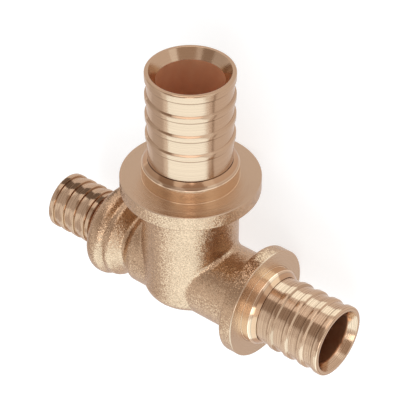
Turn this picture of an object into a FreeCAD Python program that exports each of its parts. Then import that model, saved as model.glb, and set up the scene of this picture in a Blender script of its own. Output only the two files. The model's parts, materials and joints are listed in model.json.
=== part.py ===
import FreeCAD, Part
import math
import os

# Reducing tee for pipe joints with a sliding sleeve: one brass forging, turned at its three ends.
# The branch takes the largest pipe, the right end the middle one and the left end the smallest.
# All sizes are in millimetres. Along each arm, places are measured out from the crossing of the axes.

# Forged body
run_radius = 9.88  # round body that joins the two run ends
neck_radius = 11.64  # upright barrel under the branch flange
neck_depth = 7.1  # how far the barrel reaches below the run axis
neck_bottom_round = 4.1  # rounding of the barrel's lower end
body_fillet = 1.6  # forging fillet where barrel and run meet

# Details that the three turned ends share
rib_count = 3
rib_crest = 1.3  # flat top of a rib
rib_ramp = 0.3  # steep side of a rib that faces the mouth
lip_bevel = 0.35  # broken outer edge of the mouth
shoulder_edge_depth = 0.5  # bevel round the shoulder's outer edge, across the axis
shoulder_edge_run = 0.75  # the same bevel, along the axis
shoulder_slope = 0.8  # height of the shoulder's sloping top
drill_point_angle = 118  # degrees, of the cone that ends each bore behind the crossing

# Branch, for the 25 mm pipe
branch_reach = 57.3  # run axis to mouth
branch_face = 27.9  # run axis to the turned flange face
branch_flange_radius = 16.8
branch_flange_thickness = 4.0
branch_shoulder_radius = 11.6
branch_shoulder_height = 5.2
branch_spigot_radius = 10.1
branch_rib_height = 0.45
branch_rib_pitch = 5.37
branch_lip_length = 1.95
branch_bore_radius = 8.0
branch_mouth_radius = 9.6
branch_mouth_depth = 2.5

# Right end of the run, for the 20 mm pipe
right_reach = 44.35  # branch axis to mouth
right_face = 23.1  # branch axis to the turned flange face
right_flange_radius = 13.8
right_flange_thickness = 3.7
right_shoulder_radius = 9.7
right_shoulder_height = 3.5
right_spigot_radius = 8.42
right_rib_height = 0.46
right_rib_pitch = 4.23
right_lip_length = 1.65
right_bore_radius = 6.72
right_mouth_radius = 7.8
right_mouth_depth = 2.0

# Left end of the run, for the 16 mm pipe
left_reach = 40.6  # branch axis to mouth
left_face = 24.95  # branch axis to the turned collar face
left_flange_radius = 11.95
left_flange_thickness = 4.05
left_shoulder_radius = 8.0
left_shoulder_height = 2.6
left_spigot_radius = 6.8
left_rib_height = 0.42
left_rib_pitch = 3.37
left_lip_length = 1.5
left_bore_radius = 5.35
left_mouth_radius = 6.2
left_mouth_depth = 1.7

# Forged back of the left collar: a shallow groove, a bead and a waist before the run
collar_edge_round = 2.8
collar_edge_steps = 2  # flats that its rounding is cut in
collar_back_round = 2.0
collar_groove_depth = 1.1  # below the collar's rim
collar_groove_run = 1.4  # along the axis, from the rim to the groove's bottom
collar_bead_drop = 0.85  # the bead's corner below the collar's rim
collar_bead_run = 1.6  # from the groove's bottom to the bead's corner
collar_bead_round = 1.5
waist_radius = 7.7  # corner of the waist, before its rounding
waist_run = 2.9  # from the bead's corner to the waist's corner
waist_round = 1.2
run_end_run = 2.4  # from the waist's corner to the full run radius
run_end_round = 2.0

# How the seam of barrel and run is found, and how long the resting pose is refined
seam_samples = 9  # points looked at along an edge
seam_tolerance = 0.001
seam_least_spread = 0.01  # along the run, so that no ring round the run counts
balance_rounds = 200

ORIGIN = FreeCAD.Vector(0, 0, 0)
RUN_AXIS = FreeCAD.Vector(1, 0, 0)
BRANCH_AXIS = FreeCAD.Vector(0, 0, 1)


# An end is what the turned outline and the bore of one arm need.
def make_end(reach, face, flange, thickness, shoulder, shoulder_height, spigot, rib_height, pitch,
             lip, bore, mouth, mouth_depth):
    return {"reach": reach, "face": face, "flange": flange, "thickness": thickness,
            "shoulder": shoulder, "shoulder_height": shoulder_height, "spigot": spigot,
            "crest": spigot + rib_height, "pitch": pitch, "lip": lip, "bore": bore,
            "mouth": mouth, "mouth_depth": mouth_depth}


branch = make_end(branch_reach, branch_face, branch_flange_radius, branch_flange_thickness,
                  branch_shoulder_radius, branch_shoulder_height, branch_spigot_radius,
                  branch_rib_height, branch_rib_pitch, branch_lip_length, branch_bore_radius,
                  branch_mouth_radius, branch_mouth_depth)
right = make_end(right_reach, right_face, right_flange_radius, right_flange_thickness,
                 right_shoulder_radius, right_shoulder_height, right_spigot_radius,
                 right_rib_height, right_rib_pitch, right_lip_length, right_bore_radius,
                 right_mouth_radius, right_mouth_depth)
left = make_end(left_reach, left_face, left_flange_radius, left_flange_thickness,
                left_shoulder_radius, left_shoulder_height, left_spigot_radius,
                left_rib_height, left_rib_pitch, left_lip_length, left_bore_radius,
                left_mouth_radius, left_mouth_depth)


# Corners of a turned end from its shoulder's foot to the mouth's centre: (along, radius).
def turned_corners(end):
    shoulder_top = end["face"] + end["shoulder_height"]
    slope_start = shoulder_top - shoulder_slope
    corners = [
        (end["face"], end["shoulder"]),
        (slope_start - shoulder_edge_run, end["shoulder"]),
        (slope_start, end["shoulder"] - shoulder_edge_depth),
        (shoulder_top, end["spigot"]),
    ]
    for number in range(rib_count, 0, -1):
        step = end["reach"] - end["lip"] - number * end["pitch"]
        corners += [
            (step, end["spigot"]),
            (step, end["crest"]),
            (step + rib_crest, end["crest"]),
            (step + rib_crest + rib_ramp, end["spigot"]),
        ]
    corners += [
        (end["reach"] - end["lip"], end["spigot"]),
        (end["reach"] - end["lip"], end["crest"]),
        (end["reach"] - lip_bevel, end["crest"]),
        (end["reach"], end["crest"] - lip_bevel),
        (end["reach"], 0),
    ]
    return corners


# A rounding of the corner between two others, cut in flats between points of its arc.
def stepped_round(before, corner, after, rounding, steps=1):
    to_before = (FreeCAD.Vector(*before) - FreeCAD.Vector(*corner)).normalize()
    to_after = (FreeCAD.Vector(*after) - FreeCAD.Vector(*corner)).normalize()
    half_corner = to_before.getAngle(to_after) / 2
    inwards = (to_before + to_after).normalize()
    centre = FreeCAD.Vector(*corner) + inwards * (rounding / math.sin(half_corner))
    sweep = math.pi - 2 * half_corner
    across = (to_before - to_after).normalize()
    points = []
    for step in range(steps + 1):
        turn = sweep * (0.5 - step / steps)
        point = centre + (across * math.sin(turn) - inwards * math.cos(turn)) * rounding
        points.append((point.x, point.y))
    return points


def arm_solid(corners, axis):
    # An outline lies in the plane of its axis and Y, with its radius along Y.
    points = [axis * along + FreeCAD.Vector(0, radius, 0) for along, radius in corners]
    return Part.Face(Part.makePolygon(points + points[:1])).revolve(ORIGIN, axis, 360)


def branch_corners():
    underside = branch["face"] - branch["thickness"]
    return [
        (-neck_depth, 0),
        (-neck_depth, neck_radius),
        (underside, neck_radius),
        (underside, branch["flange"]),
        (branch["face"], branch["flange"]),
    ] + turned_corners(branch)


def right_corners():
    back = right["face"] - right["thickness"]
    return [
        (0, 0),
        (0, run_radius),
        (back, run_radius),
        (back, right["flange"]),
        (right["face"], right["flange"]),
    ] + turned_corners(right)


def left_corners():
    rim_back = left["face"] - left["thickness"]
    groove = (rim_back - collar_groove_run, left["flange"] - collar_groove_depth)
    bead = (groove[0] - collar_bead_run, left["flange"] - collar_bead_drop)
    waist = (bead[0] - waist_run, waist_radius)
    run_end = (waist[0] - run_end_run, run_radius)
    rim = (rim_back, left["flange"])
    edge = (left["face"], left["flange"])
    foot = (left["face"], left["shoulder"])
    middle = (0, run_radius)
    return [
        (0, 0),
        middle,
        *stepped_round(middle, run_end, waist, run_end_round),
        *stepped_round(run_end, waist, bead, waist_round),
        *stepped_round(waist, bead, groove, collar_bead_round),
        groove,
        *stepped_round(groove, rim, edge, collar_back_round),
        *stepped_round(rim, edge, foot, collar_edge_round, collar_edge_steps),
    ] + turned_corners(left)


arms = ((branch_corners(), BRANCH_AXIS), (right_corners(), RUN_AXIS), (left_corners(), RUN_AXIS * -1))


# A waterway is drilled from its mouth to the crossing, where the drill's point leaves its cone.
def waterway(end, axis):
    bore = Part.makeCylinder(end["bore"], end["reach"], ORIGIN, axis)
    mouth_start = axis * (end["reach"] - end["mouth_depth"])
    mouth = Part.makeCone(end["bore"], end["mouth"], end["mouth_depth"], mouth_start, axis)
    point_depth = end["bore"] / math.tan(math.radians(drill_point_angle / 2))
    point = Part.makeCone(end["bore"], 0, point_depth, ORIGIN, axis * -1)
    return bore.fuse([mouth, point])


# The seam is where the barrel's skin crosses the run's: its points lie at the run's radius.
def on_seam(edge):
    samples = edge.discretize(seam_samples)
    seats = [abs(math.hypot(point.y, point.z) - run_radius) < seam_tolerance for point in samples]
    within = [abs(point.x) <= neck_radius + seam_tolerance for point in samples]
    spread = max(point.x for point in samples) - min(point.x for point in samples)
    return all(seats) and all(within) and spread > seam_least_spread


def forged_body():
    barrel, right_arm, left_arm = [arm_solid(corners, axis) for corners, axis in arms]
    foot_edge = [edge for edge in barrel.Edges if edge.BoundBox.ZMax < seam_tolerance - neck_depth]
    barrel = barrel.makeFillet(neck_bottom_round, foot_edge)
    body = barrel.fuse([right_arm, left_arm]).removeSplitter()
    seam = [edge for edge in body.Edges if on_seam(edge)]
    return body.makeFillet(body_fillet, seam)


# How far an arm reaches towards a direction: its outermost corner, turned to the direction's side.
def arm_support(down, corners, axis):
    lean = down.dot(axis)
    across = math.sqrt(1 - lean * lean)
    return max(lean * along + across * radius for along, radius in corners)


# The tee lies on its three rims. The direction down makes all three reach equally far.
def lying_direction():
    along_run = 0.0
    along_branch = 0.0
    for turn in range(balance_rounds):
        across = math.sqrt(1 - along_run ** 2 - along_branch ** 2)
        down = FreeCAD.Vector(along_run, across, along_branch)
        of_branch, of_right, of_left = [arm_support(down, corners, axis) for corners, axis in arms]
        along_run -= (of_right - of_left) / (right["face"] + left["face"])
        along_branch -= (of_branch - (of_right + of_left) / 2) / branch["face"]
    return down


# Turns the tee so that down points to the floor, with the run in the X-Z plane and the branch to +Y.
def lying_placement(down):
    up = down * -1
    along = (RUN_AXIS - down * RUN_AXIS.dot(down)).normalize()
    side = up.cross(along)
    return FreeCAD.Matrix(along.x, along.y, along.z, 0, side.x, side.y, side.z, 0,
                          up.x, up.y, up.z, 0, 0, 0, 0, 1)


tee = forged_body()
for end, axis in ((branch, BRANCH_AXIS), (right, RUN_AXIS), (left, RUN_AXIS * -1)):
    tee = tee.cut(waterway(end, axis))

# The origin is under the middle of the tee's box, on the surface that it lies on.
tee.Placement = FreeCAD.Placement(lying_placement(lying_direction()))
box = tee.optimalBoundingBox(False, False)
tee.translate(FreeCAD.Vector(-box.Center.x, -box.Center.y, -box.ZMin))

os.makedirs("parts", exist_ok=True)
tee.exportStep("parts/tee_body.step")
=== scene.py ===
import json
import math
import bmesh
import bpy
from mathutils import Matrix, Quaternion, Vector


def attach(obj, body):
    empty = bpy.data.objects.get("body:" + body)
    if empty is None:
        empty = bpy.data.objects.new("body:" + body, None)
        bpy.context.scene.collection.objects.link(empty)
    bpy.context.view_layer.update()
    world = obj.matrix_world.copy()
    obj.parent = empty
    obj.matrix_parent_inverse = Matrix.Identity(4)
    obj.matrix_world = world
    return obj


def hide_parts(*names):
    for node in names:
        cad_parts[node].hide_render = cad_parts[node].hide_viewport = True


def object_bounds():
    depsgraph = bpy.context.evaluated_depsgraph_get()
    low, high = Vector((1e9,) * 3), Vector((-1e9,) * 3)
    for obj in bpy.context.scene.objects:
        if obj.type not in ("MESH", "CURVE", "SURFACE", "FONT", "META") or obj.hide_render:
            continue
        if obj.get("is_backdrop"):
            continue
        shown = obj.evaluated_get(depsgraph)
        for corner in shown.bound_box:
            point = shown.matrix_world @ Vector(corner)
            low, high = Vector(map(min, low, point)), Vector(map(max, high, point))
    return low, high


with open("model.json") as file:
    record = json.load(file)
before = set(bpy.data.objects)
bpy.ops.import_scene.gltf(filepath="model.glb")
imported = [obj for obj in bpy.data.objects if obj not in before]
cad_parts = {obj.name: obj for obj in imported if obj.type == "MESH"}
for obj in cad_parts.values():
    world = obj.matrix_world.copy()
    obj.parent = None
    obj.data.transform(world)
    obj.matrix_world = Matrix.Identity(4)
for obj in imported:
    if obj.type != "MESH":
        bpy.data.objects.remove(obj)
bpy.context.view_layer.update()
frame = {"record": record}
mounts = {mount["name"]: mount for mount in frame["record"]["mounts"]}

# The tee's own axes: x along the run to the right end, z along the branch to its mouth, 0 at their crossing.
# Everything on the tee is worked out there in millimetres and then put in its place on the floor.
perMetre = 1000  # millimetres
alongRun = Vector(mounts["right_waterway"]["axis"]).normalized()
alongBranch = Vector(mounts["branch_waterway"]["axis"]).normalized()
acrossBoth = alongBranch.cross(alongRun).normalized()
branchBore = mounts["branch_waterway"]
crossing = Vector(branchBore["pos_m"]) - alongBranch * branchBore["dims"]["length_mm"] / 2 / perMetre
teeTurn = Matrix((alongRun, acrossBoth, alongBranch)).transposed()
toFloor = Matrix.Translation(crossing) @ teeTurn.to_4x4() @ Matrix.Scale(1 / perMetre, 4)

forged, turned, bored = 0, 1, 2  # the three finishes, as material slots of the tee

# How the mesh is cut. In degrees: a flat of a large and of a small rounding, and from where an edge is sharp.
# In millimetres: from where a rounding is large, how near points become one, and the shortest edge kept.
cutting = {"largeFlat": 9, "smallFlat": 22, "largeFrom": 0.7, "weld": 0.0006, "leastEdge": 0.0001,
           "sharpAngle": 32}


def arcPoints(before, corner, after, rounding):
    # Points of a rounding between two straight sides, as (along, radius).
    corner = Vector(corner)
    toBefore = (Vector(before) - corner).normalized()
    toAfter = (Vector(after) - corner).normalized()
    half = toBefore.angle(toAfter) / 2
    inwards = (toBefore + toAfter).normalized()
    centre = corner + inwards * rounding / math.sin(half)
    across = (toBefore - toAfter).normalized()
    sweep = math.pi - 2 * half
    flat = cutting["largeFlat"] if rounding > cutting["largeFrom"] else cutting["smallFlat"]
    steps = max(1, round(math.degrees(sweep) / flat))
    turns = [sweep * (0.5 - step / steps) for step in range(steps + 1)]
    return [centre + (across * math.sin(turn) - inwards * math.cos(turn)) * rounding for turn in turns]


def outline(corners):
    # corners: (along, radius, rounding, finish of the side that follows); returns points and finishes.
    points, finishes = [], []
    for number, (along, radius, rounding, finish) in enumerate(corners):
        arc = [Vector((along, radius))]
        if rounding and 0 < number < len(corners) - 1:
            arc = arcPoints(corners[number - 1][:2], (along, radius), corners[number + 1][:2], rounding)
        points += arc
        finishes += [finish] * len(arc)
    return points, finishes


class Skin:
    # Collects grids of points and the finish of each strip, and makes one closed mesh of them.
    def __init__(self):
        self.mesh = bmesh.new()

    def grid(self, rows, finishes):
        made = [[self.mesh.verts.new(point) for point in row] for row in rows]
        for number in range(len(made) - 1):
            for place in range(len(made[number]) - 1):
                corners = (made[number][place], made[number][place + 1],
                           made[number + 1][place + 1], made[number + 1][place])
                face = self.mesh.faces.new(corners)
                face.material_index = finishes[number]

    def closed(self, name):
        bmesh.ops.remove_doubles(self.mesh, verts=self.mesh.verts, dist=cutting["weld"])
        bmesh.ops.dissolve_degenerate(self.mesh, edges=self.mesh.edges, dist=cutting["leastEdge"])
        bmesh.ops.recalc_face_normals(self.mesh, faces=self.mesh.faces)
        openEdges = [edge for edge in self.mesh.edges if len(edge.link_faces) != 2]
        print(name, len(self.mesh.faces), "faces,", len(openEdges), "open edges")
        data = bpy.data.meshes.new(name)
        self.mesh.to_mesh(data)
        self.mesh.free()
        return bpy.data.objects.new(name, data)


# The forged body: an upright barrel across a round run, with a rolled fillet between them.
body = {"runRadius": 9.88, "neckRadius": 11.64, "neckDepth": 7.1, "neckBottomRound": 4.1, "fillet": 1.6}
barrelLow = body["neckBottomRound"] - body["neckDepth"]  # height at which the barrel's lower rounding starts
barrelFlat = body["neckRadius"] - body["neckBottomRound"]  # radius of the flat bottom inside that rounding

# How many columns, rings and steps the forged skin has, and where its plain rings begin in millimetres.
seam = {"upperColumns": 50, "lowerColumns": 24, "frontColumns": 90, "underColumns": 26, "filletSteps": 7,
        "barrelRings": 3, "runRings": 6, "rollTries": 12, "barrelRingAt": 14.0, "rightRingAt": 14.6}

# The turned ends. Places are measured out from the crossing along each arm.
sharedEnd = {"ribs": 3, "ribCrest": 1.3, "ribRamp": 0.3, "ribEdge": 0.1, "lipRound": 0.42, "mouthEdge": 0.14,
             "shoulderEdgeDepth": 0.5, "shoulderEdgeRun": 0.75, "shoulderEdgeRound": 0.2,
             "shoulderSlope": 0.8, "slopeFoot": 0.12, "footFillet": 0.06, "rootWidth": 0.28,
             "rootDepth": 0.1, "nickWidth": 0.14, "nickDepth": 0.07, "boreRim": 0.6, "drillPoint": 118,
             "backFillet": 0.9, "backRound": 0.6, "rimRound": 0.25}
# Each end's last two values belong to its finish: the width of the painted shade in its creases and how
# strong its lines are.
branch = {"reach": 57.3, "face": 27.9, "flange": 16.8, "thickness": 4.0, "shoulder": 11.6,
          "shoulderHeight": 5.2, "spigot": 10.1, "rib": 0.45, "pitch": 5.37, "lip": 1.95, "bore": 8.0,
          "mouth": 9.6, "mouthDepth": 2.5, "creaseShade": 0.62, "lines": 0.35}
right = {"reach": 44.35, "face": 23.1, "flange": 13.8, "thickness": 3.7, "shoulder": 9.7,
         "shoulderHeight": 3.5, "spigot": 8.42, "rib": 0.46, "pitch": 4.23, "lip": 1.65, "bore": 6.72,
         "mouth": 7.8, "mouthDepth": 2.0, "creaseShade": 0.5, "lines": 1.5}
left = {"reach": 40.6, "face": 24.95, "flange": 11.95, "thickness": 4.05, "shoulder": 8.0,
        "shoulderHeight": 2.6, "spigot": 6.8, "rib": 0.42, "pitch": 3.37, "lip": 1.5, "bore": 5.35,
        "mouth": 6.2, "mouthDepth": 1.7, "creaseShade": 0.16, "lines": 1.1}
collar = {"edgeRound": 2.8, "backRound": 2.0, "grooveDepth": 1.2, "grooveRun": 1.4, "grooveRound": 0.7,
          "beadDrop": 0.85, "beadRun": 1.6, "beadRound": 1.4, "waistRadius": 7.7, "waistRun": 2.9,
          "waistRound": 1.2, "runEndRun": 2.4, "runEndRound": 2.0}


def shoulderTop(end):
    return end["face"] + end["shoulderHeight"]


def boreStart(end):
    # a little inside the countersink, where the turned end's skin meets the drilled bore
    return end["reach"] - end["mouthDepth"] - sharedEnd["boreRim"]


def nick(step, spigot):
    # The V that the turning tool leaves at the foot of a step.
    return [(step - sharedEnd["nickWidth"], spigot, 0, turned),
            (step - sharedEnd["nickWidth"] / 2, spigot - sharedEnd["nickDepth"], 0, turned),
            (step, spigot, 0, turned)]


def turnedEnd(end):
    # From the foot of the shoulder over the ribs and into the mouth.
    top = shoulderTop(end)
    slope = top - sharedEnd["shoulderSlope"]
    rootEnd = top + sharedEnd["rootWidth"]
    spigot, crest, edge = end["spigot"], end["spigot"] + end["rib"], sharedEnd["ribEdge"]
    root = spigot - sharedEnd["rootDepth"]
    corners = [
        (end["face"], end["shoulder"], sharedEnd["footFillet"], turned),
        (slope - sharedEnd["shoulderEdgeRun"], end["shoulder"], sharedEnd["shoulderEdgeRound"], turned),
        (slope, end["shoulder"] - sharedEnd["shoulderEdgeDepth"], sharedEnd["shoulderEdgeRound"], turned),
        (top, spigot + sharedEnd["slopeFoot"], 0, turned),
        (top, root, 0, turned),
        (rootEnd, root, 0, turned),
        (rootEnd, spigot, 0, turned),
    ]
    for number in range(sharedEnd["ribs"], 0, -1):
        step = end["reach"] - end["lip"] - number * end["pitch"]
        corners += nick(step, spigot) + [
            (step, crest, edge, turned),
            (step + sharedEnd["ribCrest"], crest, edge, turned),
            (step + sharedEnd["ribCrest"] + sharedEnd["ribRamp"], spigot, edge, turned),
        ]
    lipStart = end["reach"] - end["lip"]
    return corners + nick(lipStart, spigot) + [
        (lipStart, crest, edge, turned),
        (end["reach"], crest, sharedEnd["lipRound"], turned),
        (end["reach"], end["mouth"], sharedEnd["mouthEdge"], turned),
        (end["reach"] - end["mouthDepth"], end["bore"], 0, bored),
        (boreStart(end), end["bore"], 0, bored),
    ]


def flangedEnd(end, neck, start):
    # A forged arm of the neck's radius, then the flange with its turned face.
    back = end["face"] - end["thickness"]
    return outline([
        (start, neck, 0, forged),
        (back, neck, sharedEnd["backFillet"], forged),
        (back, end["flange"], sharedEnd["backRound"], forged),
        (end["face"], end["flange"], sharedEnd["rimRound"], turned),
    ] + turnedEnd(end))


def collaredBack():
    # The forged corners behind the left collar, from the run outwards.
    rimBack = left["face"] - left["thickness"]
    groove = (rimBack - collar["grooveRun"], left["flange"] - collar["grooveDepth"])
    bead = (groove[0] - collar["beadRun"], left["flange"] - collar["beadDrop"])
    waist = (bead[0] - collar["waistRun"], collar["waistRadius"])
    runEnd = (waist[0] - collar["runEndRun"], body["runRadius"])
    return [
        (0, body["runRadius"], 0, forged),
        (*runEnd, collar["runEndRound"], forged),
        (*waist, collar["waistRound"], forged),
        (*bead, collar["beadRound"], forged),
        (*groove, collar["grooveRound"], forged),
        (rimBack, left["flange"], collar["backRound"], forged),
        (left["face"], left["flange"], collar["edgeRound"], forged),
    ]


# The seam. A ball of the fillet's radius rolls between barrel and run; its centre is found at each turn
# round the run, and it touches the barrel at one point and the run at the other.
backCorners = collaredBack()
runEndTurn = math.atan2(body["runRadius"] - collar["waistRadius"], collar["runEndRun"])
runEndStart = backCorners[1][0] - collar["runEndRound"] * math.tan(runEndTurn / 2)


def runSection(along, side, raised=0.0):
    # Radius of the run's skin at a place, raised by a distance along its normal, and the normal's lean.
    full = body["runRadius"] + raised
    if side > 0 or along <= runEndStart:
        return full, 0.0
    reach = collar["runEndRound"] + raised
    lean = math.asin(min(1.0, (along - runEndStart) / reach))
    return full - reach * (1 - math.cos(lean)), lean


def barrelSection(level, raised=0.0):
    # Radius and height of the barrel's skin, raised along its normal. level is the height above the start
    # of the barrel's lower rounding, or minus the angle round it.
    if level >= 0:
        return body["neckRadius"] + raised, barrelLow + level
    lowRound = body["neckBottomRound"] + raised
    return barrelFlat + lowRound * math.cos(level), barrelLow + lowRound * math.sin(level)


def barrelPoint(turn, level):
    reach, height = barrelSection(level)
    return Vector((reach * math.cos(turn), reach * math.sin(turn), height))


def seamColumn(turnRound, side):
    # The ball's centre and its two touching points, on the front (y < 0) of the given side.
    ball = body["fillet"]
    raisedRun = body["runRadius"] + ball
    for attempt in range(seam["rollTries"]):
        height = raisedRun * math.cos(turnRound)
        outwards = raisedRun * math.sin(turnRound)
        level = height - barrelLow
        if level < 0:
            level = -math.asin(min(1.0, (barrelLow - height) / (body["neckBottomRound"] + ball)))
        reach = barrelSection(level, ball)[0]
        along = math.sqrt(max(reach ** 2 - outwards ** 2, 0.0))
        raisedRun, lean = runSection(along, side, ball)
    centre = Vector((side * along, -outwards, height))
    turn = math.atan2(centre.y, centre.x)
    runNormal = Vector((side * math.sin(lean), -math.sin(turnRound) * math.cos(lean),
                        math.cos(turnRound) * math.cos(lean)))
    return {"centre": centre, "turn": turn, "level": level, "onBarrel": barrelPoint(turn, level),
            "onRun": centre - runNormal * ball}


def seamTurns():
    # Evenly round the run down to the barrel's lower rounding, then evenly round that.
    raised = body["runRadius"] + body["fillet"]
    lowRound = body["neckBottomRound"] + body["fillet"]
    upperEnd = math.acos(barrelLow / raised)
    upper = [upperEnd * number / seam["upperColumns"] for number in range(seam["upperColumns"])]
    sinks = [math.pi / 2 * number / seam["lowerColumns"] for number in range(seam["lowerColumns"] + 1)]
    return upper + [math.acos((barrelLow - lowRound * math.sin(sink)) / raised) for sink in sinks]


def handed(point, mirrored):
    # the back of the tee is its front mirrored
    return Vector((point.x, -point.y if mirrored else point.y, point.z))


def filletRow(column, mirrored):
    fromBarrel = (column["onBarrel"] - column["centre"]) / body["fillet"]
    fromRun = (column["onRun"] - column["centre"]) / body["fillet"]
    between = fromBarrel.lerp(fromRun, 0.5).normalized()
    ways = [fromBarrel.slerp(fromRun, step / seam["filletSteps"], between)
            for step in range(seam["filletSteps"] + 1)]
    return [handed(column["centre"] + way * body["fillet"], mirrored) for way in ways]


def bottomColumn(share, rightEnd, leftEnd):
    # Between the last columns of the two sides the ball rolls straight along the barrel's flat bottom.
    return {part: rightEnd[part].lerp(leftEnd[part], share) for part in ("centre", "onBarrel", "onRun")}


tee = Skin()
turns = seamTurns()
rightSeam = [seamColumn(turn, 1) for turn in turns]
leftSeam = [seamColumn(turn, -1) for turn in turns]
frontCount = seam["frontColumns"]
shares = [number / frontCount for number in range(frontCount + 1)]
bottomSeam = [bottomColumn(share, rightSeam[-1], leftSeam[-1]) for share in shares]

# Barrel skin: rows between the two sides of the seam, and above them whole rings up to the flange.
for mirrored in (False, True):
    rows = []
    for rightColumn, leftColumn in zip(rightSeam[:-1], leftSeam[:-1]):
        startTurn, endTurn = rightColumn["turn"], leftColumn["turn"]
        if endTurn > 0:  # counted the same way round as the start
            endTurn -= 2 * math.pi
        startLevel, endLevel = rightColumn["level"], leftColumn["level"]
        rows.append([handed(barrelPoint(startTurn + (endTurn - startTurn) * share,
                                        startLevel + (endLevel - startLevel) * share), mirrored)
                     for share in shares])
    rows.append([handed(column["onBarrel"], mirrored) for column in bottomSeam])
    tee.grid(rows, [forged] * len(rows))
    for chain in (rightSeam, bottomSeam, leftSeam):
        rows = [filletRow(column, mirrored) for column in chain]
        tee.grid(rows, [forged] * len(rows))

branchTurns = [-math.pi * number / frontCount for number in range(2 * frontCount + 1)]
topRows = []
for step in range(seam["barrelRings"] + 1):
    row = []
    for number, turn in enumerate(branchTurns):
        share = 1 - abs(1 - number / frontCount)
        low = rightSeam[0]["onBarrel"].z + (leftSeam[0]["onBarrel"].z - rightSeam[0]["onBarrel"].z) * share
        height = low + (seam["barrelRingAt"] - low) * step / seam["barrelRings"]
        row.append(Vector((body["neckRadius"] * math.cos(turn), body["neckRadius"] * math.sin(turn), height)))
    topRows.append(row)
tee.grid(topRows, [forged] * seam["barrelRings"])


def lathe(points, finishes, ringTurns, place):
    tee.grid([[place(point, turn) for turn in ringTurns] for point in points], finishes)


def onBranch(point, turn):
    return Vector((point.y * math.cos(turn), point.y * math.sin(turn), point.x))


def onRun(side):
    # turn is measured round the run from its top towards the front
    return lambda point, turn: Vector((side * point.x, -point.y * math.sin(turn), point.y * math.cos(turn)))


lathe(*flangedEnd(branch, body["neckRadius"], seam["barrelRingAt"]), branchTurns, onBranch)

underStep = (2 * math.pi - 2 * turns[-1]) / seam["underColumns"]
underTurns = [turns[-1] + underStep * number for number in range(seam["underColumns"] + 1)]
runTurns = turns[:-1] + underTurns + [2 * math.pi - turn for turn in reversed(turns[:-1])]

# Run skin: from the seam out to a whole ring on each side, and along the underside between them.
runRing = {1: seam["rightRingAt"], -1: runEndStart + collar["runEndRound"] * math.sin(runEndTurn)}
for side, chain in ((1, rightSeam), (-1, leftSeam)):
    place = onRun(side)
    lineStarts = [abs(column["onRun"].x) for column in chain]
    starts = lineStarts[:-1] + [lineStarts[-1]] * len(underTurns) + lineStarts[:-1][::-1]
    rows = []
    for step in range(seam["runRings"] + 1):
        row = []
        for start, turn in zip(starts, runTurns):
            along = start + (runRing[side] - start) * step / seam["runRings"]
            row.append(place(Vector((along, runSection(along, side)[0])), turn))
        rows.append(row)
    tee.grid(rows, [forged] * seam["runRings"])
underRows = []
for turn in underTurns:
    side, height = -body["runRadius"] * math.sin(turn), body["runRadius"] * math.cos(turn)
    underRows.append([Vector((column["onRun"].x, side, height)) for column in bottomSeam])
tee.grid(underRows, [forged] * len(underRows))

lathe(*flangedEnd(right, body["runRadius"], runRing[1]), runTurns, onRun(1))

# The left end starts at its run's ring; the corners before that only gave the rounding there its direction.
leftPoints, leftFinishes = outline(backCorners + turnedEnd(left))
ringPoint = min(range(len(leftPoints)), key=lambda number: abs(leftPoints[number].x - runRing[-1]))
lathe(leftPoints[ringPoint:], leftFinishes[ringPoint:], runTurns, onRun(-1))

# Waterways: three drilled cores are joined, opened at their mouths and turned inside out.
arms = ((branch, Vector((0, 0, 1))), (right, Vector((1, 0, 0))), (left, Vector((-1, 0, 0))))
coring = {"capSlack": 0.01, "capFacing": 0.9}  # how near, in millimetres, and how squarely a cap lies


def drilledCore(end, ringTurns, place, name):
    depth = end["bore"] / math.tan(math.radians(sharedEnd["drillPoint"] / 2))
    corners = ((-depth, 0.0), (0.0, end["bore"]), (boreStart(end), end["bore"]), (boreStart(end), 0.0))
    rings = [[place(Vector(corner), turn) for turn in ringTurns] for corner in corners]
    core = Skin()
    core.grid(rings, [bored] * len(rings))
    return core.closed(name)


def isCap(face):
    # the flat end of a core, where the skin of a mouth takes over
    middle = face.calc_center_median()
    return any(abs(middle.dot(way) - boreStart(end)) < coring["capSlack"]
               and face.normal.dot(way) > coring["capFacing"] for end, way in arms)


cores = [drilledCore(branch, branchTurns, onBranch, "branchCore"),
         drilledCore(right, runTurns, onRun(1), "rightCore"),
         drilledCore(left, runTurns, onRun(-1), "leftCore")]
for core in cores:
    bpy.context.scene.collection.objects.link(core)
for other in cores[1:]:
    join = cores[0].modifiers.new("join", "BOOLEAN")
    join.operation, join.solver, join.object = "UNION", "EXACT", other
bpy.context.view_layer.update()
joined = bpy.data.meshes.new_from_object(cores[0].evaluated_get(bpy.context.evaluated_depsgraph_get()))
waterways = bmesh.new()
waterways.from_mesh(joined)
for face in waterways.faces:
    face.material_index = bored
bmesh.ops.delete(waterways, geom=[face for face in waterways.faces if isCap(face)], context="FACES")
bmesh.ops.reverse_faces(waterways, faces=waterways.faces)
inside = bpy.data.meshes.new("inside")
waterways.to_mesh(inside)
waterways.free()
tee.mesh.from_mesh(inside)
for core in cores:
    bpy.data.objects.remove(core)

teeBody = tee.closed("reducing_tee")
teeBody.data.transform(toFloor)
teeBody.data.shade_smooth()
teeBody.data.set_sharp_from_angle(angle=math.radians(cutting["sharpAngle"]))
bpy.context.scene.collection.objects.link(teeBody)
even = teeBody.modifiers.new("even", "WEIGHTED_NORMAL")  # keeps the flats flat beside their small roundings
even.keep_sharp = True
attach(teeBody, "root")
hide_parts("tee_body")
print("tee made")


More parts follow.
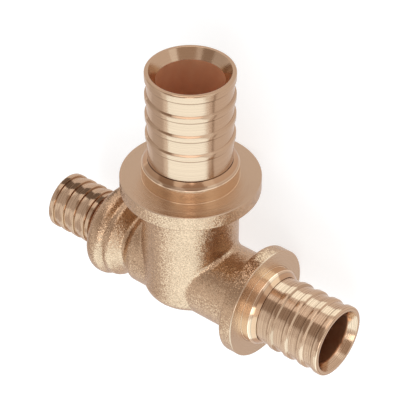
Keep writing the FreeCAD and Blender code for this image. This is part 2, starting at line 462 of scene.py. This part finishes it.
# Materials. Line is a socket that can be reckoned with; Bench is one material's nodes.
class Line:
    def __init__(self, bench, socket):
        self.bench, self.socket = bench, socket

    def __add__(self, other):
        return self.bench.reckon("ADD", self, other)

    def __radd__(self, other):
        return self.bench.reckon("ADD", other, self)

    def __sub__(self, other):
        return self.bench.reckon("SUBTRACT", self, other)

    def __rsub__(self, other):
        return self.bench.reckon("SUBTRACT", other, self)

    def __mul__(self, other):
        return self.bench.reckon("MULTIPLY", self, other)

    def __rmul__(self, other):
        return self.bench.reckon("MULTIPLY", other, self)

    def __truediv__(self, other):
        return self.bench.reckon("DIVIDE", self, other)

    def __rtruediv__(self, other):
        return self.bench.reckon("DIVIDE", other, self)

    def __gt__(self, other):
        return self.bench.reckon("GREATER_THAN", self, other)

    def __lt__(self, other):
        return self.bench.reckon("LESS_THAN", self, other)


class Bench:
    def __init__(self, name, owner=None):
        self.owner = owner or bpy.data.materials.new(name)
        self.owner.use_nodes = True
        self.tree = self.owner.node_tree
        self.tree.nodes.clear()

    def add(self, kind, settings=None, inputs=None, out=0):
        # settings go first, and inputs are values or links, by the socket's name or number
        node = self.tree.nodes.new(kind)
        for name, value in (settings or {}).items():
            setattr(node, name, value)
        for key, value in (inputs or {}).items():
            if isinstance(value, Line):
                self.tree.links.new(value.socket, node.inputs[key])
            else:
                node.inputs[key].default_value = value
        return Line(self, node.outputs[out])

    def reckon(self, operation, first, second=0.0):
        return self.add("ShaderNodeMath", {"operation": operation}, {0: first, 1: second})

    def vector(self, operation, first, second=(0, 0, 0), out=0):
        return self.add("ShaderNodeVectorMath", {"operation": operation}, {0: first, 1: second}, out)

    def blend(self, share, first, second):
        # a share of 0 gives the first colour and 1 the second
        return self.add("ShaderNodeMix", {"data_type": "RGBA"}, {0: share, 6: first, 7: second}, 2)

    def finish(self, shader, kind="ShaderNodeOutputMaterial"):
        self.tree.links.new(shader.socket, self.tree.nodes.new(kind).inputs["Surface"])
        return self.owner


noiseMiddle = 0.5  # about which noise and cell colours lie


def onTee(bench):
    # The place on the tee in its own axes, in millimetres.
    fromCrossing = bench.vector("SUBTRACT", bench.add("ShaderNodeTexCoord", out="Object"), crossing)
    return [bench.vector("DOT_PRODUCT", fromCrossing, way * perMetre, "Value")
            for way in (alongRun, acrossBoth, alongBranch)]


forging = {"shade": (0.25, 0.155, 0.09, 1), "light": (0.87, 0.605, 0.40, 1), "facetShare": 0.3,
           "grainShare": 0.5, "blotchShare": 0.2, "grain": 3.6, "grainDetail": 2.5, "grainRoughness": 0.65,
           "depth": 0.00004, "cells": 4.6, "lean": 0.32, "blotch": 0.12, "blotchDetail": 2,
           "roughness": 0.24, "roughnessSpread": 0.12}


def forgedBrass():
    # Blasted forging skin: fine grain that glitters, over faint broad patches.
    bench = Bench("forgedBrassSkin")
    x, y, z = onTee(bench)
    place = bench.add("ShaderNodeCombineXYZ", {}, {0: x, 1: y, 2: z})
    grain = bench.add("ShaderNodeTexNoise", {}, {
        "Vector": place, "Scale": forging["grain"], "Detail": forging["grainDetail"],
        "Roughness": forging["grainRoughness"]})
    cells = bench.add("ShaderNodeTexVoronoi", {}, {
        "Vector": place, "Scale": forging["cells"], "Randomness": 1}, "Color")
    facet = bench.add("ShaderNodeSeparateColor", {}, {"Color": cells})
    blotch = bench.add("ShaderNodeTexNoise", {}, {
        "Vector": place, "Scale": forging["blotch"], "Detail": forging["blotchDetail"]})
    tone = facet * forging["facetShare"] + grain * forging["grainShare"] + blotch * forging["blotchShare"]
    # each small dent leans its own way, so some catch the light and some don't
    lean = bench.vector("MULTIPLY", bench.vector("SUBTRACT", cells, (noiseMiddle,) * 3),
                        (forging["lean"],) * 3)
    normal = bench.add("ShaderNodeNewGeometry", out="Normal")
    leaning = bench.vector("NORMALIZE", bench.vector("ADD", normal, lean))
    return bench.finish(bench.add("ShaderNodeBsdfPrincipled", {}, {
        "Base Color": bench.blend(tone, forging["shade"], forging["light"]), "Metallic": 1,
        "Roughness": forging["roughness"] + (noiseMiddle - grain) * forging["roughnessSpread"],
        "Normal": bench.add("ShaderNodeBump", {}, {
            "Strength": 1, "Distance": forging["depth"], "Height": grain, "Normal": leaning})}))


# Three of these colours are painted light: the brightest one, for the shoulder's side, is a painted
# highlight; the brown one, for its bevelled top, a painted reflection of the spigot; the darkest one painted
# shade in the creases.
turning = {"shade": (0.42, 0.28, 0.18, 1), "light": (0.70, 0.50, 0.345, 1), "facing": (0.60, 0.44, 0.31, 1),
           "wallHighlight": (0.94, 0.73, 0.54, 1), "bevelReflection": (0.55, 0.32, 0.18, 1), "creaseShade": (0.20, 0.11, 0.06, 1),
           "facingShare": 0.8, "wallHighlightShare": 0.8, "bevelReflectionShare": 0.7, "creaseShadeShare": 0.8, "shoulderShade": 0.7,
           "plain": 0.6, "strokeShare": 0.7, "strokeMiddle": 0.45, "broadShare": 0.4,
           "lines": 5.5, "lineDetail": 3, "lineRoughness": 0.7, "strokeFrom": 0.38, "strokeTo": 0.57,
           "broadLines": 0.9, "broadDetail": 1, "depth": 0.000006, "facingDepth": 9,
           "roughness": 0.14, "roughnessSpread": 0.12, "facingRoughness": 0.1}

# Where each tone, painted highlight, painted reflection and painted shade of a turned end lies, in
# millimetres from the face, the shoulder, its top or the spigot.
# ribsFrom and ribsTo count pitches from the lip's step, and ribShare is a share of the rib's height.
# The painted shade in the creases is at its darkest up to creaseFull of its width and fades out from there.
tones = {"branchFrom": 20, "faceDepth": 0.06, "faceInside": 0.1, "wallSlack": 0.1, "wallTop": 1.3,
         "bevelRadius": 0.16, "bevelFrom": 0.85, "bevelTo": 0.01, "ribsFrom": -3.3, "ribsTo": 0.02,
         "ribShare": 0.7, "nickRoom": 0.2, "rootRoom": 0.03, "rootTo": 1, "footWidth": 0.25,
         "creaseFull": 0.5}


def turnedBrass():
    # Fine lines go round whichever arm a place is on: they follow the place along plus the radius.
    bench = Bench("turnedBrass")
    x, y, z = onTee(bench)
    onBranchArm = z > tones["branchFrom"]
    onRunArm = 1 - onBranchArm
    onRightArm = onRunArm * (x > 0)
    onLeftArm = onRunArm - onRightArm

    def ofArm(value):
        # the value that the arm here has
        return onBranchArm * value(branch) + onRightArm * value(right) + onLeftArm * value(left)

    along = z * onBranchArm + bench.reckon("ABSOLUTE", x) * onRunArm
    radius = (bench.reckon("SQRT", y * y + x * x) * onBranchArm
              + bench.reckon("SQRT", y * y + z * z) * onRunArm)
    line = along + radius
    fine = bench.add("ShaderNodeTexNoise", {"noise_dimensions": "1D"}, {
        "W": line, "Scale": turning["lines"], "Detail": turning["lineDetail"],
        "Roughness": turning["lineRoughness"]})
    strokes = bench.add("ShaderNodeMapRange", {}, {
        "Value": fine, "From Min": turning["strokeFrom"], "From Max": turning["strokeTo"]})
    broad = bench.add("ShaderNodeTexNoise", {"noise_dimensions": "1D"}, {
        "W": line, "Scale": turning["broadLines"], "Detail": turning["broadDetail"]})

    # the flange's faces are cut with a coarser feed than the spigots
    onFace = ((along < ofArm(lambda end: end["face"] + tones["faceDepth"]))
              * (radius > ofArm(lambda end: end["shoulder"] + tones["faceInside"])))
    # painted highlight: the shoulder's side gets a much brighter colour that stands in for the bright
    # reflection it shows
    wallHighlightMask = ((1 - onFace) * (radius > ofArm(lambda end: end["shoulder"] - tones["wallSlack"]))
              * (along < ofArm(lambda end: shoulderTop(end) - tones["wallTop"])))
    # painted reflection: the bevelled top of the shoulder gets a brown colour that stands in for the spigot
    # mirrored in it
    bevelReflectionMask = ((radius > ofArm(lambda end: end["spigot"] + tones["bevelRadius"]))
               * (along > ofArm(lambda end: shoulderTop(end) - tones["bevelFrom"]))
               * (along < ofArm(lambda end: shoulderTop(end) + tones["bevelTo"])))

    # painted shade: a darker colour in the creases at the foot of each rib's step and of the shoulder, where
    # shade falls
    pitch = ofArm(lambda end: end["pitch"])
    fromLip = (along - ofArm(lambda end: end["reach"] - end["lip"])) / pitch
    toStep = (1 - bench.reckon("FLOORED_MODULO", fromLip, 1)) * pitch
    atRibs = ((fromLip > tones["ribsFrom"]) * (fromLip < tones["ribsTo"])
              * (radius < ofArm(lambda end: end["spigot"] + end["rib"] * tones["ribShare"]))
              * (radius > ofArm(lambda end: end["spigot"] - tones["nickRoom"])))
    atRoot = ((radius < ofArm(lambda end: end["spigot"] - tones["rootRoom"]))
              * (along < ofArm(lambda end: shoulderTop(end) + tones["rootTo"])))
    atFoot = onRunArm * onFace * (radius < ofArm(lambda end: end["shoulder"] + tones["footWidth"]))
    creaseShade = bench.add("ShaderNodeMapRange", {}, {
        "Value": toStep / ofArm(lambda end: end["creaseShade"]), "From Min": 1, "From Max": tones["creaseFull"]})
    paintedShade = bench.reckon("MINIMUM", creaseShade * atRibs + (atRoot + atFoot) * turning["shoulderShade"], 1.0)

    sway = ((strokes - turning["strokeMiddle"]) * turning["strokeShare"]
            + (broad - noiseMiddle) * turning["broadShare"])
    colour = bench.blend(turning["plain"] + sway * ofArm(lambda end: end["lines"]),
                         turning["shade"], turning["light"])
    # the shoulder's side gets a painted highlight, its bevelled top a painted reflection and the creases
    # painted shade
    for mask, tone in ((onFace, "facing"), (wallHighlightMask, "wallHighlight"), (bevelReflectionMask, "bevelReflection"), (paintedShade, "creaseShade")):
        colour = bench.blend(mask * turning[tone + "Share"], colour, turning[tone])
    roughness = (turning["roughness"] + (fine - noiseMiddle) * turning["roughnessSpread"]
                 + onFace * turning["facingRoughness"])
    height = fine * (1 + onFace * (turning["facingDepth"] - 1))
    return bench.finish(bench.add("ShaderNodeBsdfPrincipled", {}, {
        "Base Color": colour, "Metallic": 1, "Roughness": roughness,
        "Normal": bench.add("ShaderNodeBump", {}, {
            "Strength": 1, "Distance": turning["depth"], "Height": height})}))


# The run's darker colour and its share in this table are painted shade inside the run's bores.
boring = {"shade": (0.86, 0.45, 0.25, 1), "light": (1.0, 0.62, 0.38, 1), "roughness": 0.36,
          "roughnessSpread": 0.1, "cloud": 0.5, "cloudDetail": 3, "bump": 0.6, "depth": 0.00002,
          "branchMetallic": 0.36, "runMetallic": 0.97, "runPaintedShade": (0.20, 0.12, 0.07, 1), "runPaintedShadeShare": 0.36}


def boredBrass():
    # The drilled walls are duller and redder than the turned skin; in the run they get painted shade, a
    # darker colour.
    bench = Bench("boredBrass")
    x, y, z = onTee(bench)
    place = bench.add("ShaderNodeCombineXYZ", {}, {0: x, 1: y, 2: z})
    cloud = bench.add("ShaderNodeTexNoise", {}, {
        "Vector": place, "Scale": boring["cloud"], "Detail": boring["cloudDetail"]})
    # painted shade: the run's bores are darkened in colour to stand in for the shade inside them
    inRun = z < branch["face"] / 2
    plain = bench.blend(cloud, boring["shade"], boring["light"])
    return bench.finish(bench.add("ShaderNodeBsdfPrincipled", {}, {
        "Base Color": bench.blend(inRun * boring["runPaintedShadeShare"], plain, boring["runPaintedShade"]),
        "Metallic": boring["branchMetallic"] + inRun * (boring["runMetallic"] - boring["branchMetallic"]),
        "Roughness": boring["roughness"] + (cloud - noiseMiddle) * boring["roughnessSpread"],
        "Normal": bench.add("ShaderNodeBump", {}, {
            "Strength": boring["bump"], "Distance": boring["depth"], "Height": cloud})}))


for material in (forgedBrass(), turnedBrass(), boredBrass()):
    teeBody.data.materials.append(material)
print("finishes made")

# Floor and sky. Both are plain and white where the camera or the metal sees them.
studio = {"floorColour": (0.52, 0.52, 0.52, 1), "floorSize": 3.0, "floorGlow": 0.7, "sky": 0.6,
          "skyForCamera": 1.0, "white": (1, 1, 1, 1)}


def flatSheet(name, width, height, material):
    across, tall = width / 2, height / 2
    sheet = bpy.data.meshes.new(name)
    sheet.from_pydata([(-across, -tall, 0), (across, -tall, 0), (across, tall, 0), (-across, tall, 0)], [],
                      [(0, 1, 2, 3)])
    sheet.materials.append(material)
    return bpy.data.objects.new(name, sheet)


def rays(bench):
    # 1 for what the camera sees straight, in metal or through glass
    straight, mirrored, through = [bench.add("ShaderNodeLightPath", out=name) for name in
                                   ("Is Camera Ray", "Is Glossy Ray", "Is Transmission Ray")]
    return bench.reckon("MAXIMUM", straight, bench.reckon("MAXIMUM", mirrored, through))


def paleFloor():
    bench = Bench("paleFloor")
    plain = bench.add("ShaderNodeBsdfDiffuse", {}, {"Color": studio["floorColour"]})
    glow = bench.add("ShaderNodeEmission", {}, {
        "Color": studio["white"], "Strength": rays(bench) * studio["floorGlow"]})
    return bench.finish(bench.add("ShaderNodeAddShader", {}, {0: plain, 1: glow}))


floor = flatSheet("floor", studio["floorSize"], studio["floorSize"], paleFloor())
bpy.context.scene.collection.objects.link(floor)
floor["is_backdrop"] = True

world = bpy.data.worlds.new("studio")
bpy.context.scene.world = world
sky = Bench("studio", world)
strength = studio["sky"] + (studio["skyForCamera"] - studio["sky"]) * rays(sky)
sky.finish(sky.add("ShaderNodeBackground", {}, {"Color": studio["white"], "Strength": strength}),
           "ShaderNodeOutputWorld")


def wayTo(facts):
    # azimuth is turned from the branch's side (+Y) towards the right end (+X), elevation is above the floor
    turn, rise = math.radians(facts["azimuth"]), math.radians(facts["elevation"])
    return Vector((math.sin(turn) * math.cos(rise), math.cos(turn) * math.cos(rise), math.sin(rise)))


def setAround(thing, facts):
    # at its distance from the tee's place on the floor, and facing it
    thing.location = wayTo(facts) * facts["distance"]
    thing.rotation_mode = "QUATERNION"
    thing.rotation_quaternion = (-wayTo(facts)).to_track_quat("-Z", "Y")
    bpy.context.scene.collection.objects.link(thing)


# A large softbox stands at the tee's foot side, and a small one above its right.
softboxes = {"footSoftbox": {"azimuth": 160, "elevation": 27, "distance": 0.7, "width": 1.0, "height": 0.8,
                             "glow": 1.95, "colour": (0.77, 0.91, 1.0)},
             "sideSoftbox": {"azimuth": 92, "elevation": 57, "distance": 0.7, "width": 0.22, "height": 0.22,
                             "glow": 1.8, "colour": (1.0, 0.97, 0.94)}}
for name, facts in softboxes.items():
    light = bpy.data.lights.new(name, "AREA")
    light.shape, light.size, light.size_y = "RECTANGLE", facts["width"], facts["height"]
    light.energy = facts["glow"] * math.pi * facts["width"] * facts["height"]
    light.color = facts["colour"]
    setAround(bpy.data.objects.new(name, light), facts)

# Cards show in the metal only, where they take the place of the white sky. Those with a tip don't face the
# tee: at 0 degrees they lie on the floor and at 90 they stand upright. softboxBack hides the sky behind the
# large softbox.
warm, brown, cool = (1.0, 0.92, 0.88, 1), (1.0, 0.80, 0.68, 1), (0.84, 0.95, 1.0, 1)
cards = {
    "backCard": {"azimuth": -33, "elevation": 53, "distance": 0.5, "width": 0.25, "height": 0.42,
                 "grey": 0.38, "tint": brown},
    "lowBackCard": {"azimuth": -30, "elevation": 15, "distance": 0.6, "width": 0.2, "height": 0.32,
                    "grey": 1.0},
    "leftBackCard": {"azimuth": -62, "elevation": 30, "distance": 0.8, "width": 0.55, "height": 0.84,
                     "grey": 0.6},
    "leftCard": {"azimuth": -112, "elevation": 19, "distance": 0.8, "width": 0.9, "height": 0.6,
                 "grey": 0.68},
    "rightStrip": {"azimuth": 5, "elevation": 20, "distance": 0.6, "width": 0.42, "height": 0.38,
                   "grey": 1.7},
    "rightCard": {"azimuth": 44, "elevation": 40, "distance": 0.8, "width": 0.62, "height": 0.62,
                  "grey": 0.5, "tint": brown},
    "ceilingCard": {"azimuth": 0, "elevation": 86, "distance": 0.8, "width": 0.8, "height": 0.7,
                    "grey": 0.7},
    "softboxBack": {"azimuth": 160, "elevation": 27, "distance": 0.72, "width": 1.03, "height": 0.83,
                    "grey": 0.0},
    "floorCard": {"azimuth": 0, "elevation": 90, "distance": 0.0006, "width": 1.2, "height": 1.2,
                  "grey": 0.83, "tip": 0},
    "rightFloorCard": {"azimuth": 100, "elevation": 1, "distance": 0.1, "width": 0.04, "height": 0.1,
                       "grey": 0.42, "tint": brown, "tip": 0},
    "rightEndStrip": {"azimuth": 100, "elevation": 20.5, "distance": 0.0309, "width": 0.024,
                      "height": 0.0095, "grey": 1.75, "tint": cool, "tip": 90},
    "leftEndScreen": {"azimuth": -100.4, "elevation": 14.7, "distance": 0.0431, "width": 0.024,
                      "height": 0.0088, "grey": 0.2, "tint": brown, "tip": 90}}
for name, facts in cards.items():
    bench = Bench(name)
    glow = bench.add("ShaderNodeEmission", {}, {"Color": facts.get("tint", warm), "Strength": facts["grey"]})
    if "tip" in facts:  # it shows on its front only
        clear = bench.add("ShaderNodeBsdfTransparent")
        fromBehind = bench.add("ShaderNodeNewGeometry", out="Backfacing")
        glow = bench.add("ShaderNodeMixShader", {}, {0: fromBehind, 1: glow, 2: clear})
    card = flatSheet(name, facts["width"], facts["height"], bench.finish(glow))
    setAround(card, facts)
    if "tip" in facts:
        card.rotation_quaternion = Quaternion((1, 0, 0), math.radians(facts["tip"]))
    card.visible_camera = card.visible_diffuse = card.visible_shadow = False
    card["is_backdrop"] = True

# Camera, in the tee's own axes: where it stands and which way it looks back from the tee.
camera = {"at": (218.88, -267.65, 294.31), "azimuth": 38.510, "elevation": 38.737, "roll": 0.354,
          "lens": 159.11, "sensor": 36, "nearest": 0.01, "farthest": 20}
azimuth, elevation = math.radians(camera["azimuth"]), math.radians(camera["elevation"])
back = Vector((math.cos(elevation) * math.sin(azimuth), -math.cos(elevation) * math.cos(azimuth),
               math.sin(elevation)))
level = Vector((math.cos(azimuth), math.sin(azimuth), 0))
upright = back.cross(level)
eyeTurn = Matrix((level, upright, back)).transposed() @ Matrix.Rotation(math.radians(camera["roll"]), 3, "Z")
eyeData = bpy.data.cameras.new("eye")
eyeData.lens, eyeData.sensor_width = camera["lens"], camera["sensor"]
eyeData.clip_start, eyeData.clip_end = camera["nearest"], camera["farthest"]
eye = bpy.data.objects.new("eye", eyeData)
bpy.context.scene.collection.objects.link(eye)
eye.matrix_world = Matrix.Translation(toFloor @ Vector(camera["at"])) @ (teeTurn @ eyeTurn).to_4x4()
bpy.context.scene.camera = eye
bpy.context.scene.view_settings.view_transform = "Standard"
print("studio made")

low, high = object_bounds()
